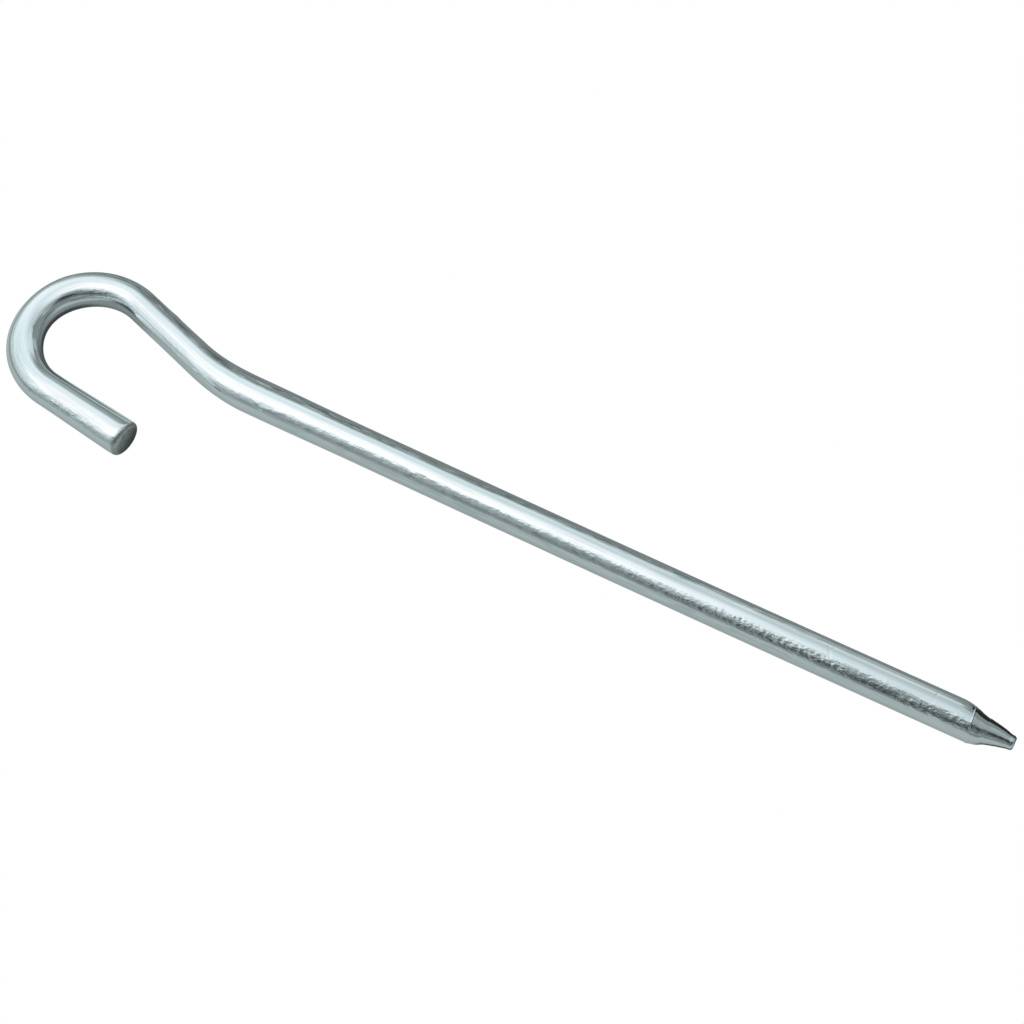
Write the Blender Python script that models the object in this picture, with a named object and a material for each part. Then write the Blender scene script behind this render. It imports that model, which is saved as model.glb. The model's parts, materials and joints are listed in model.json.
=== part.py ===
"""Tent stake: one length of round bright metal wire, turned to a blunt point and cold bent to a hook.

The stake lies flat, so every bend is in the XY plane. The shank runs along X with its point at
+X, and the hook opens towards -Y. Metres throughout.
"""

import math

import bmesh
import bpy
from mathutils import Matrix, Vector

# ---- Driving dimensions -------------------------------------------------------------------------

WIRE_DIAMETER = 0.006
WIRE_RADIUS = WIRE_DIAMETER / 2

# Lengths and radii of the wire's axis, from the point to the sheared end.
SHANK_LENGTH = 0.1319
SHANK_BOW = math.radians(0.83)
COUNTER_BEND_RADIUS = 0.0365
COUNTER_BEND_ANGLE = math.radians(18.2)
NECK_LENGTH = 0.01365
CROWN_RADIUS = 0.01112
CROWN_ANGLE = math.radians(60.7)
RETURN_RADIUS = 0.01048
RETURN_ANGLE = math.radians(129.8)
LEG_LENGTH = 0.0164

# The turned point: a small flat with a rounded edge, a cone, and a soft shoulder up to the wire.
POINT_FLAT_RADIUS = 0.00075
POINT_EDGE_LENGTH = 0.0006
POINT_EDGE_RADIUS = 0.00118
CONE_LENGTH = 0.0063
CONE_RADIUS = 0.00266
SHOULDER_LENGTH = 0.0021

# The sheared end of the leg has a rounded rim around its flat face.
RIM_RADIUS = 0.0007

# Width of the wire in the plane of the bends, as a share of its diameter. The dies upset the shank
# beside the counter-bend, and stretch the neck and the hook. Places are shares of the return bend.
COUNTER_BEND_SWELL = 1.055
NECK_START_SQUEEZE = 0.915
NECK_SQUEEZE = 0.90
CROWN_SQUEEZE = 0.94
HOOK_MIDDLE_SQUEEZE = 0.915
HOOK_EXIT_SQUEEZE = 0.99
LEG_SQUEEZE = 0.955
SHEARED_END_SPREAD = 1.035
HOOK_MIDDLE_PLACE = 0.25
HOOK_EXIT_PLACE = 0.63
SWELL_FADE = 0.022
HEIGHT_RESPONSE = 0.25

# Fineness of the mesh.
WIRE_SIDES = 24
SHANK_STEPS = 6
SWELL_STEPS = 4
COUNTER_BEND_STEPS = 6
NECK_STEPS = 4
CROWN_STEPS = 10
RETURN_STEPS = 22
LEG_STEPS = 4
ROUNDING_STEPS = 3
SHOULDER_STEPS = 3
SHARP_EDGE_ANGLE = math.radians(35)

METAL_COLOUR = (0.78, 0.86, 0.86, 1.0)
METAL_ROUGHNESS = 0.22

# ---- The wire's axis ----------------------------------------------------------------------------

COUNTER_BEND_LENGTH = COUNTER_BEND_RADIUS * COUNTER_BEND_ANGLE
CROWN_LENGTH = CROWN_RADIUS * CROWN_ANGLE
RETURN_LENGTH = RETURN_RADIUS * RETURN_ANGLE

# Each run of the axis: its length, and the angle it turns to the left over that length.
RUNS = (
    (SHANK_LENGTH, -SHANK_BOW),
    (COUNTER_BEND_LENGTH, -COUNTER_BEND_ANGLE),
    (NECK_LENGTH, 0.0),
    (CROWN_LENGTH, CROWN_ANGLE),
    (RETURN_LENGTH, RETURN_ANGLE),
    (LEG_LENGTH, 0.0),
)

COUNTER_BEND_START = SHANK_LENGTH
NECK_START = COUNTER_BEND_START + COUNTER_BEND_LENGTH
HOOK_START = NECK_START + NECK_LENGTH
RETURN_START = HOOK_START + CROWN_LENGTH
LEG_START = RETURN_START + RETURN_LENGTH
WIRE_LENGTH = LEG_START + LEG_LENGTH


def axis_at(distance):
    """Position and heading of the wire's axis at a distance from the point."""
    x, y = 0.0, 0.0
    heading = math.pi + SHANK_BOW / 2
    for length, turn in RUNS:
        travelled = min(distance, length)
        end_heading = heading + turn * travelled / length
        if turn:
            radius = length / turn
            x += radius * (math.sin(end_heading) - math.sin(heading))
            y += radius * (math.cos(heading) - math.cos(end_heading))
        else:
            x += travelled * math.cos(heading)
            y += travelled * math.sin(heading)
        heading = end_heading
        distance -= travelled
        if distance <= 0:
            break
    return Vector((x, y, 0.0)), heading


# ---- The wire's section -------------------------------------------------------------------------

# Distance from the point, and the width share there.
WIDTH_KEYS = (
    (0.0, 1.0),
    (COUNTER_BEND_START - SWELL_FADE, 1.0),
    (COUNTER_BEND_START, COUNTER_BEND_SWELL),
    (NECK_START, NECK_START_SQUEEZE),
    (NECK_START + NECK_LENGTH / 2, NECK_SQUEEZE),
    (HOOK_START, NECK_SQUEEZE),
    (RETURN_START, CROWN_SQUEEZE),
    (RETURN_START + RETURN_LENGTH * HOOK_MIDDLE_PLACE, HOOK_MIDDLE_SQUEEZE),
    (RETURN_START + RETURN_LENGTH * HOOK_EXIT_PLACE, HOOK_EXIT_SQUEEZE),
    (LEG_START, LEG_SQUEEZE),
    (WIRE_LENGTH, SHEARED_END_SPREAD),
)


def key_slope(index):
    """Slope of the width share at a key: zero at a peak or an end, else the mean of both sides."""
    if index in (0, len(WIDTH_KEYS) - 1):
        return 0.0
    (x0, y0), (x1, y1), (x2, y2) = WIDTH_KEYS[index - 1:index + 2]
    before = (y1 - y0) / (x1 - x0)
    after = (y2 - y1) / (x2 - x1)
    if before * after <= 0:
        return 0.0
    return 2 * before * after / (before + after)


def width_share(distance):
    """Smooth width share between the keys, as a cubic through both ends and slopes."""
    index = 0
    while index < len(WIDTH_KEYS) - 2 and distance > WIDTH_KEYS[index + 1][0]:
        index += 1
    (x0, y0), (x1, y1) = WIDTH_KEYS[index:index + 2]
    span = x1 - x0
    t = min(max((distance - x0) / span, 0.0), 1.0)
    start = y0 * (1 + 2 * t) * (1 - t) ** 2 + key_slope(index) * span * t * (1 - t) ** 2
    end = y1 * t * t * (3 - 2 * t) - key_slope(index + 1) * span * t * t * (1 - t)
    return start + end


def height_share(distance):
    """Height of the section as a share of the diameter: it gives way a little wherever it is worked."""
    return 1 - HEIGHT_RESPONSE * abs(width_share(distance) - 1)


# ---- Stations along the wire --------------------------------------------------------------------


def rounded(start, end):
    """Quarter-ellipse from one (distance, radius) to another, leaving the first one across the axis."""
    points = []
    for step in range(1, ROUNDING_STEPS + 1):
        angle = math.pi / 2 * step / ROUNDING_STEPS
        distance = start[0] + (end[0] - start[0]) * (1 - math.cos(angle))
        radius = start[1] + (end[1] - start[1]) * math.sin(angle)
        points.append((distance, radius))
    return points


def shoulder(start, end):
    """Parabola from one (distance, radius) up to another, along the axis where it ends."""
    points = []
    for step in range(1, SHOULDER_STEPS + 1):
        rest = 1 - step / SHOULDER_STEPS
        distance = end[0] + (start[0] - end[0]) * rest
        radius = end[1] + (start[1] - end[1]) * rest ** 2
        points.append((distance, radius))
    return points


def evenly(start, end, steps):
    """Full-radius stations after start, up to and including end."""
    return [(start + (end - start) * step / steps, WIRE_RADIUS) for step in range(1, steps + 1)]


def stations():
    """(distance from the point, radius) of every ring of the wire, from the point to the sheared end."""
    cone_end = POINT_EDGE_LENGTH + CONE_LENGTH
    shoulder_end = cone_end + SHOULDER_LENGTH
    rings = [(0.0, POINT_FLAT_RADIUS)]
    rings += rounded(rings[-1], (POINT_EDGE_LENGTH, POINT_EDGE_RADIUS))
    rings.append((cone_end, CONE_RADIUS))
    rings += shoulder(rings[-1], (shoulder_end, WIRE_RADIUS))
    rings += evenly(shoulder_end, COUNTER_BEND_START - SWELL_FADE, SHANK_STEPS)
    rings += evenly(COUNTER_BEND_START - SWELL_FADE, COUNTER_BEND_START, SWELL_STEPS)
    rings += evenly(COUNTER_BEND_START, NECK_START, COUNTER_BEND_STEPS)
    rings += evenly(NECK_START, HOOK_START, NECK_STEPS)
    rings += evenly(HOOK_START, RETURN_START, CROWN_STEPS)
    rings += evenly(RETURN_START, LEG_START, RETURN_STEPS)
    rings += evenly(LEG_START, WIRE_LENGTH - RIM_RADIUS, LEG_STEPS)
    flat_edge = (WIRE_LENGTH, WIRE_RADIUS - RIM_RADIUS)
    rim = rounded(flat_edge, rings[-1])
    rings += rim[-2::-1] + [flat_edge]
    return rings


def ring_matrix(distance, radius):
    """Places a unit circle as the wire's section: its X in the plane of the bends, its Y upright."""
    position, heading = axis_at(distance)
    turn = Matrix.Rotation(heading - math.pi / 2, 4, "Z") @ Matrix.Rotation(math.pi / 2, 4, "X")
    half_width = radius * width_share(distance)
    half_height = radius * height_share(distance)
    return Matrix.Translation(position) @ turn @ Matrix.Diagonal((half_width, half_height, 1.0, 1.0))


# ---- Building -----------------------------------------------------------------------------------


def clear_scene():
    for obj in list(bpy.data.objects):
        bpy.data.objects.remove(obj, do_unlink=True)


def metal_material():
    material = bpy.data.materials.new("bright_drawn_metal")
    material.use_nodes = True
    shader = material.node_tree.nodes["Principled BSDF"]
    shader.inputs["Base Color"].default_value = METAL_COLOUR
    shader.inputs["Metallic"].default_value = 1.0
    shader.inputs["Roughness"].default_value = METAL_ROUGHNESS
    return material


def extrude_ring(bm, edges, matrix):
    """Grows the open end of the wire by one ring and moves it by matrix. Returns the new end's edges."""
    grown = bmesh.ops.extrude_edge_only(bm, edges=edges)["geom"]
    verts = [item for item in grown if isinstance(item, bmesh.types.BMVert)]
    ends = set(verts)
    bmesh.ops.transform(bm, matrix=matrix, verts=verts)
    new_edges = [item for item in grown if isinstance(item, bmesh.types.BMEdge)]
    return [edge for edge in new_edges if set(edge.verts) <= ends]


def wire_mesh(name):
    """The solid wire: a circle carried along the axis from ring to ring, with a flat face on each end."""
    bm = bmesh.new()
    rings = stations()
    placed = ring_matrix(*rings[0])
    bmesh.ops.create_circle(bm, segments=WIRE_SIDES, radius=1.0, matrix=placed)
    edges = list(bm.edges)
    bmesh.ops.contextual_create(bm, geom=edges)
    for ring in rings[1:]:
        target = ring_matrix(*ring)
        edges = extrude_ring(bm, edges, target @ placed.inverted())
        placed = target
    bmesh.ops.contextual_create(bm, geom=edges)
    bmesh.ops.recalc_face_normals(bm, faces=bm.faces)
    mesh = bpy.data.meshes.new(name)
    bm.to_mesh(mesh)
    bm.free()
    mesh.shade_smooth()
    mesh.set_sharp_from_angle(angle=SHARP_EDGE_ANGLE)
    return mesh


def stand_on_base(obj):
    """Puts the middle of the underside of the object's box at the world origin."""
    corners = [Vector(corner) for corner in obj.bound_box]
    low = Vector([min(corner[i] for corner in corners) for i in range(3)])
    high = Vector([max(corner[i] for corner in corners) for i in range(3)])
    obj.location = (-(low.x + high.x) / 2, -(low.y + high.y) / 2, -low.z)


def build_stake():
    mesh = wire_mesh("stake_rod")
    mesh.materials.append(metal_material())
    rod = bpy.data.objects.new("stake_rod", mesh)
    bpy.context.scene.collection.objects.link(rod)
    stand_on_base(rod)


clear_scene()
build_stake()
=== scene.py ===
"""Looks of the tent stake: one bright drawn wire on a white floor, under a soft overhead panel.

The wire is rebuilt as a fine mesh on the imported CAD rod's own axis and sections, with its turned
point, sheared end, die marks, draw lines and dents as real surface. Metres throughout.
"""

import json
import math

import bpy
import numpy as np
from mathutils import Matrix, Vector, noise


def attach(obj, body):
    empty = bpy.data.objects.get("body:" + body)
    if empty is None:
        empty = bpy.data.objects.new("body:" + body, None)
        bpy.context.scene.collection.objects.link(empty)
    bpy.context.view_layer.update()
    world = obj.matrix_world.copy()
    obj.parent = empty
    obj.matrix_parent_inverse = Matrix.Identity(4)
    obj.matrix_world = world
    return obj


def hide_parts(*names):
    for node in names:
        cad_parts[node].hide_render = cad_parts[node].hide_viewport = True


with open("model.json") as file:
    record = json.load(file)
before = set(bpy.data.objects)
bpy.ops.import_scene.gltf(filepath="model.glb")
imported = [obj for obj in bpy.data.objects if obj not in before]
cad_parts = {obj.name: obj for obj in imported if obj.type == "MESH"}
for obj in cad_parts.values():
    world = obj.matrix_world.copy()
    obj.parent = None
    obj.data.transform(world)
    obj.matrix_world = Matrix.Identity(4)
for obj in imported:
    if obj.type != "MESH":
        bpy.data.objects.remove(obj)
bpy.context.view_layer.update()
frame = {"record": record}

# ---- Camera -------------------------------------------------------------------------------------

CAMERA_AZIMUTH = math.radians(27.36)
CAMERA_ELEVATION = math.radians(61.91)
CAMERA_DISTANCE = 0.408
CAMERA_TARGET = Vector((0.00176, 0.00519, 0.003))
CAMERA_LENS = 91.41
CAMERA_CLIP = 0.01


def make_camera():
    data = bpy.data.cameras.new("camera")
    data.lens = CAMERA_LENS
    data.clip_start = CAMERA_CLIP
    camera = bpy.data.objects.new("camera", data)
    bpy.context.scene.collection.objects.link(camera)
    back = Vector((
        math.sin(CAMERA_AZIMUTH) * math.cos(CAMERA_ELEVATION),
        -math.cos(CAMERA_AZIMUTH) * math.cos(CAMERA_ELEVATION),
        math.sin(CAMERA_ELEVATION),
    ))
    right = Vector((math.cos(CAMERA_AZIMUTH), math.sin(CAMERA_AZIMUTH), 0.0))
    axes = Matrix((right, back.cross(right), back)).transposed()
    camera.matrix_world = Matrix.Translation(CAMERA_TARGET + back * CAMERA_DISTANCE) @ axes.to_4x4()
    bpy.context.scene.camera = camera


# ---- The wire's axis, as the CAD rod has it -----------------------------------------------------

WIRE_RADIUS = 0.003

SHANK_LENGTH = 0.1319
SHANK_BOW = math.radians(0.83)
COUNTER_BEND_RADIUS = 0.0365
COUNTER_BEND_ANGLE = math.radians(18.2)
NECK_LENGTH = 0.01365
CROWN_RADIUS = 0.01112
CROWN_ANGLE = math.radians(60.7)
RETURN_RADIUS = 0.01048
RETURN_ANGLE = math.radians(129.8)
LEG_LENGTH = 0.0164

# Each run of the axis: its length, and the angle it turns to the left over that length.
RUNS = (
    (SHANK_LENGTH, -SHANK_BOW),
    (COUNTER_BEND_RADIUS * COUNTER_BEND_ANGLE, -COUNTER_BEND_ANGLE),
    (NECK_LENGTH, 0.0),
    (CROWN_RADIUS * CROWN_ANGLE, CROWN_ANGLE),
    (RETURN_RADIUS * RETURN_ANGLE, RETURN_ANGLE),
    (LEG_LENGTH, 0.0),
)
RUN_ENDS = np.cumsum([length for length, _ in RUNS])
COUNTER_BEND_START, NECK_START, HOOK_START, RETURN_START, LEG_START, WIRE_LENGTH = RUN_ENDS

DRIVEN_POINT = next(m for m in frame["record"]["mounts"] if m["name"] == "driven_point")


def axis_at(distances):
    """Positions (x, y) and headings of the wire's axis at distances from the driven point."""
    x, y, _ = DRIVEN_POINT["pos_m"]
    outward = DRIVEN_POINT["axis"]
    heading = math.atan2(-outward[1], -outward[0]) % (2 * math.pi)
    points = np.zeros((len(distances), 2))
    headings = np.zeros(len(distances))
    start = 0.0
    for length, turn in RUNS:
        reached = distances >= start
        travelled = np.append(np.minimum(distances[reached] - start, length), length)
        ahead = heading + turn * travelled / length
        if turn:
            radius = length / turn
            along = x + radius * (np.sin(ahead) - math.sin(heading))
            across = y + radius * (math.cos(heading) - np.cos(ahead))
        else:
            along = x + travelled * math.cos(heading)
            across = y + travelled * math.sin(heading)
        points[reached] = np.column_stack((along, across))[:-1]
        headings[reached] = ahead[:-1]
        x, y, heading = along[-1], across[-1], ahead[-1]
        start += length
    return points, headings


# ---- The wire's section -------------------------------------------------------------------------

# Widths that the bending left, as shares of the diameter.
COUNTER_BEND_SWELL = 1.055
NECK_START_SQUEEZE = 0.915
NECK_SQUEEZE = 0.90
CROWN_SQUEEZE = 0.94
HOOK_MIDDLE_SQUEEZE = 0.915
HOOK_EXIT_SQUEEZE = 0.99
LEG_SQUEEZE = 0.955
SHEARED_END_SPREAD = 1.035
# Two of them lie at these shares of the return's length.
HOOK_MIDDLE_PLACE = 0.25
HOOK_EXIT_PLACE = 0.63
# The counter-bend's swell starts this far ahead of it.
SWELL_FADE = 0.022
# The height gives up this share of any change in the width.
HEIGHT_RESPONSE = 0.25

# Distance from the point, and the width of the section there as a share of the diameter.
WIDTH_KEYS = (
    (0.0, 1.0),
    (COUNTER_BEND_START - SWELL_FADE, 1.0),
    (COUNTER_BEND_START, COUNTER_BEND_SWELL),
    (NECK_START, NECK_START_SQUEEZE),
    (NECK_START + NECK_LENGTH / 2, NECK_SQUEEZE),
    (HOOK_START, NECK_SQUEEZE),
    (RETURN_START, CROWN_SQUEEZE),
    (RETURN_START + (LEG_START - RETURN_START) * HOOK_MIDDLE_PLACE, HOOK_MIDDLE_SQUEEZE),
    (RETURN_START + (LEG_START - RETURN_START) * HOOK_EXIT_PLACE, HOOK_EXIT_SQUEEZE),
    (LEG_START, LEG_SQUEEZE),
    (WIRE_LENGTH, SHEARED_END_SPREAD),
)


def smooth_step(low, high, values):
    """0 below low, 1 above high, and smooth in between."""
    t = np.clip((values - low) / (high - low), 0.0, 1.0)
    return t * t * (3 - 2 * t)


def zone(edges, values):
    """1 between the inner two of four edges, 0 past the outer two, and smooth in between."""
    start, full, falling, end = edges
    return smooth_step(start, full, values) * smooth_step(end, falling, values)


def key_slopes(keys):
    """Slope at each key: zero at a peak or an end, else the harmonic mean of both sides."""
    x, y = np.array(keys).T
    rise = np.diff(y) / np.diff(x)
    slopes = np.zeros(len(x))
    same_way = rise[:-1] * rise[1:] > 0
    before, after = rise[:-1][same_way], rise[1:][same_way]
    slopes[1:-1][same_way] = 2 * before * after / (before + after)
    return slopes


def through_keys(keys, values):
    """Smooth curve through the keys, as a cubic between each two."""
    x, y = np.array(keys).T
    slopes = key_slopes(keys)
    index = np.clip(np.searchsorted(x, values) - 1, 0, len(x) - 2)
    span = (x[1:] - x[:-1])[index]
    t = np.clip((values - x[index]) / span, 0.0, 1.0)
    start = y[index] * (1 + 2 * t) * (1 - t) ** 2 + slopes[index] * span * t * (1 - t) ** 2
    end = y[index + 1] * t * t * (3 - 2 * t) - slopes[index + 1] * span * t * t * (1 - t)
    return start + end


# ---- Rings of the fine mesh ---------------------------------------------------------------------

SIDES = 112

POINT_FLAT_RADIUS = 0.00075
POINT_EDGE_LENGTH = 0.0006
POINT_EDGE_RADIUS = 0.00118
RING_PLACE = 0.0069
RING_ZONE_START = 0.0062
RING_ZONE_END = 0.0078
RIM_RADIUS = 0.0007

POINT_SPACING = 0.00010
RING_SPACING = 0.000035
NEAR_SPACING = 0.00018
FAR_SPACING = 0.00034
NEAR_END = 0.052
FLAT_RINGS = 4
FACE_RINGS = 14
EDGE_RINGS = 9

# At distances from the point: the radius of the turned cone, and how far its own axis stands off
# the wire's.
CONE_KEYS = (
    (POINT_EDGE_LENGTH, POINT_EDGE_RADIUS),
    (0.00186, 0.00142),
    (0.00298, 0.00168),
    (0.0043, 0.00200),
    (0.0052, 0.00233),
    (0.0059, 0.00252),
    (0.0072, 0.00285),
)
LEAN_KEYS = (
    (0.0, 0.00013),
    (0.0022, 0.00012),
    (0.0042, 0.00021),
    (0.0053, 0.00035),
    (0.0072, 0.00026),
)


def quarter(start, end, steps):
    """Quarter-ellipse from one (distance, radius) to another, which starts across the axis."""
    angle = math.pi / 2 * np.arange(1, steps + 1) / steps
    distance = start[0] + (end[0] - start[0]) * (1 - np.cos(angle))
    radius = start[1] + (end[1] - start[1]) * np.sin(angle)
    return np.column_stack((distance, radius))


def evenly(start, end, spacing):
    """(distance, full radius) after start, up to and including end."""
    steps = max(1, round((end - start) / spacing))
    distance = start + (end - start) * np.arange(1, steps + 1) / steps
    return np.column_stack((distance, np.full(steps, WIRE_RADIUS)))


def rings():
    """Distance from the point and radius of every ring, from the point to the sheared face."""
    flat = np.column_stack((
        np.zeros(FLAT_RINGS),
        POINT_FLAT_RADIUS * np.arange(1, FLAT_RINGS + 1) / FLAT_RINGS,
    ))
    edge = quarter((0.0, POINT_FLAT_RADIUS), (POINT_EDGE_LENGTH, POINT_EDGE_RADIUS), EDGE_RINGS)
    cone = evenly(POINT_EDGE_LENGTH, RING_ZONE_START, POINT_SPACING)
    ring_zone = evenly(RING_ZONE_START, RING_ZONE_END, RING_SPACING)
    near = evenly(RING_ZONE_END, NEAR_END, NEAR_SPACING)
    far = evenly(NEAR_END, WIRE_LENGTH - RIM_RADIUS, FAR_SPACING)
    rim_start = (WIRE_LENGTH - RIM_RADIUS, WIRE_RADIUS)
    rim = quarter((WIRE_LENGTH, WIRE_RADIUS - RIM_RADIUS), rim_start, EDGE_RINGS)
    face = np.column_stack((
        np.full(FACE_RINGS, WIRE_LENGTH),
        (WIRE_RADIUS - RIM_RADIUS) * np.arange(FACE_RINGS, 0, -1) / FACE_RINGS,
    ))
    # The rim is walked backwards, without the ring that the far run already ends on.
    return np.vstack((flat, edge, cone, ring_zone, near, far, rim[-2::-1], face))


# ---- Marks in the surface -----------------------------------------------------------------------

# The turned point isn't quite true to the wire: its cone leans towards LOW_SIDE, an angle from the
# level left side of the wire up to its crest, and the ring where it starts is skewed the same way.
LOW_SIDE = math.radians(-12)
SKEW_SIDE = math.radians(-31)
RING_SKEW = 0.00025
RING_HALF_WIDTH = 0.00007
LIP_HEIGHT = 0.000036
LIP_WIDTH = 0.00012
# Behind the ring the wire's far side is worn round.
WORN_SIDE = math.radians(152)
WORN_SPREAD = math.radians(52)
WORN_START = 0.0096
WORN_LIMIT = 1.2
WORN_DEPTH = 0.00045
# The cone's far side has a low step, from its nose up to STEP_PLACE.
STEP_PLACE = 0.0047
STEP_HALF_WIDTH = 0.00008
STEP_NOSE_END = 0.002
STEP_SIDE = math.radians(158)
STEP_SPREAD = math.radians(32)
STEP_HEIGHT = 0.00009

rng = np.random.default_rng(11)


def bump_at(values, centre, width):
    return np.exp(-(((values - centre) / width) ** 2))


def angle_from(theta, centre):
    """Angle between theta and centre, from -pi to pi."""
    return (theta - centre + math.pi) % (2 * math.pi) - math.pi


def on_side(theta, side, spread):
    """1 at an angle round the wire, fading to 0 on both sides of it."""
    return bump_at(angle_from(theta, side), 0.0, spread)


def noise_on(points):
    """Blender's noise, from about -1 to 1, at each row of points."""
    return np.array([noise.noise(Vector(point)) for point in points])


# Grains of the noise over the wire: length, width and seed.
PEEL_PATCHES = (0.004, 0.0012, 6.6)
COARSE_PEEL = (0.00095, 0.00042, 3.1)
FINE_PEEL = (0.00062, 0.00030, 8.4)
DRAW_LINES = (0.022, 0.00034, 5.2)
RUB_LINES = (0.0060, 0.00030, 2.8)
SLOW_WAVES = (0.012, 0.0013, 1.7)
# The seed moves the noise by this much in the two directions across the wire.
SEED_SHIFTS = (1.7, -2.3)


def wire_noise(distance, theta, grain):
    """Noise over the wire's surface, which follows its bends and closes round it."""
    length, width, seed = grain
    around = WIRE_RADIUS / width
    points = np.column_stack((
        (distance / length).ravel() + seed,
        (around * np.cos(theta)).ravel() + seed * SEED_SHIFTS[0],
        (around * np.sin(theta)).ravel() + seed * SEED_SHIFTS[1],
    ))
    return noise_on(points).reshape(distance.shape)


def ring_place(theta):
    return RING_PLACE - RING_SKEW * np.cos(theta - SKEW_SIDE)


def ahead_of_ring(distance, theta):
    """1 on the turned point, and 0 behind its ring."""
    place = ring_place(theta)
    return smooth_step(place + RING_HALF_WIDTH, place - RING_HALF_WIDTH, distance)


def point_shape(distance, theta, radius):
    """Radius with the turned point and the wear behind its ring, and the share that is turned."""
    turned = ahead_of_ring(distance, theta)
    worn = np.clip((WORN_START - distance) / (WORN_START - RING_PLACE), 0.0, WORN_LIMIT) ** 2
    worn *= on_side(theta, WORN_SIDE, WORN_SPREAD)
    step = on_side(theta, STEP_SIDE, STEP_SPREAD)
    step *= smooth_step(STEP_PLACE + STEP_HALF_WIDTH, STEP_PLACE - STEP_HALF_WIDTH, distance)
    step *= smooth_step(POINT_EDGE_LENGTH, STEP_NOSE_END, distance)
    cone = through_keys(CONE_KEYS, distance) + STEP_HEIGHT * step
    wire = radius - WORN_DEPTH * worn
    on_cone = distance > POINT_EDGE_LENGTH
    shaped = np.where(on_cone, wire + (cone - wire) * turned, radius)
    lip = bump_at(distance, ring_place(theta) + LIP_WIDTH, LIP_WIDTH)
    return shaped + LIP_HEIGHT * lip, turned


# The orange-peel and the mottled darkening in it are strongest where the surface faces this far
# from
# straight up, towards the front: tilt and spread on the shank, and tilt and spread on the hook.
# That band mirrors the room's dark front, and the mottled darkening is partly a stain and partly
# painted dark reflection.
PEEL_SIDES = (math.radians(35), math.radians(15), math.radians(44), math.radians(21))
MOTTLE_AND_DARK_REFLECTION_SIDES = (math.radians(46), math.radians(9.5), math.radians(46), math.radians(14))
HOOK_PEEL_START = 0.128
HOOK_PEEL_FULL = 0.145
# In patches the peel is weaker by up to PATCH_DEPTH.
PATCH_CONTRAST = 0.35
PATCH_DEPTH = 0.45
# Close to the ring, and on the cone ahead of it, most of the peel is turned off.
RING_CLEAN = 0.9
RING_CLEAN_WIDTH = 0.00035
CONE_CLEAN = 0.8
CONE_FADE = 0.0006
# Distance from the point, and how strong the peel is there.
PEEL_KEYS = (
    (0.0, 1.9),
    (0.020, 1.7),
    (0.045, 1.20),
    (0.090, 0.95),
    (0.125, 0.70),
    (0.140, 0.50),
    (0.157, 0.25),
    (0.165, 1.15),
    (0.180, 0.90),
    (0.192, 1.15),
    (WIRE_LENGTH, 0.80),
)

# The dies rubbed the wire's far side, and less so its near side, lengthwise.
FAR_RUB_SIDE = math.radians(117)
FAR_RUB_SPREAD = math.radians(13)
NEAR_RUB_SIDE = math.radians(24)
NEAR_RUB_SPREAD = math.radians(17)
CROWN_RUB_SIDE = math.radians(130)
CROWN_RUB_SPREAD = math.radians(11)
# How strong the rubs are on each part of the wire, and where the parts start and end.
SHANK_RUB = 0.68
HOOK_RUB = 0.25
CROWN_RUB = 0.9
NEAR_RUB = 0.42
NECK_NEAR_RUB = 0.20
SHANK_RUB_START = 0.012
SHANK_RUB_FULL = 0.040
NECK_RUB_ZONE = (0.098, 0.118, 0.156, 0.168)
CROWN_RUB_ZONE = (0.150, 0.157, 0.168, 0.176)
HOOK_RUB_START = 0.150
HOOK_RUB_FULL = 0.168


def scuffed(distance, theta):
    """How much the dies rubbed the wire lengthwise, from 0 to 1."""
    on_neck = zone(NECK_RUB_ZONE, distance)
    on_hook = smooth_step(HOOK_RUB_START, HOOK_RUB_FULL, distance)
    along = SHANK_RUB * smooth_step(SHANK_RUB_START, SHANK_RUB_FULL, distance)
    along = along + (HOOK_RUB - along) * on_hook + (1 - SHANK_RUB) * on_neck
    near_rub = NEAR_RUB + (NECK_NEAR_RUB - NEAR_RUB) * on_neck
    sides = on_side(theta, FAR_RUB_SIDE, FAR_RUB_SPREAD)
    sides = sides + near_rub * on_side(theta, NEAR_RUB_SIDE, NEAR_RUB_SPREAD)
    crown = CROWN_RUB * zone(CROWN_RUB_ZONE, distance)
    crown = crown * on_side(theta, CROWN_RUB_SIDE, CROWN_RUB_SPREAD)
    return np.clip(along * np.clip(sides, 0.0, 1.0) + crown, 0.0, 1.0)


def peel_strength(distance, theta, sides):
    """How rough the orange-peel is; with the mottle's sides, how strong the mottled stain and
    painted dark reflection in it are.
    """
    shank_tilt, shank_spread, hook_tilt, hook_spread = sides
    _, headings = axis_at(distance[:, 0])
    on_hook = smooth_step(HOOK_PEEL_START, HOOK_PEEL_FULL, distance)
    tilt = shank_tilt + (hook_tilt - shank_tilt) * on_hook
    spread = shank_spread + (hook_spread - shank_spread) * on_hook
    forward = -np.cos(headings)[:, None] * np.cos(theta)
    facing = np.arccos(np.clip(forward * np.sin(tilt) + np.sin(theta) * np.cos(tilt), -1, 1))
    patches = wire_noise(distance, theta, PEEL_PATCHES)
    patches = 1 - PATCH_DEPTH + PATCH_DEPTH * smooth_step(-PATCH_CONTRAST, PATCH_CONTRAST, patches)
    strength = bump_at(facing, 0.0, spread) * through_keys(PEEL_KEYS, distance) * patches
    strength *= 1 - RING_CLEAN * bump_at(distance, ring_place(theta), RING_CLEAN_WIDTH)
    return strength * (1 - CONE_CLEAN * smooth_step(RING_PLACE, RING_PLACE - CONE_FADE, distance))


# Heights of the peel, for a strength of 1 and at the least, and of the draw lines and slow waves.
PEEL_HEIGHT = 0.000056
LEAST_PEEL = 0.0000010
COARSE_PEEL_SHARE = 1.2
FINE_PEEL_SHARE = 0.6
LINE_HEIGHT = 0.0000045
RUB_LINE_SHARE = 1.6
WAVE_HEIGHT = 0.0000090
# Lines and waves fade out over this much on both sides of the ring.
LINES_RING_GAP = 0.0003


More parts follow.
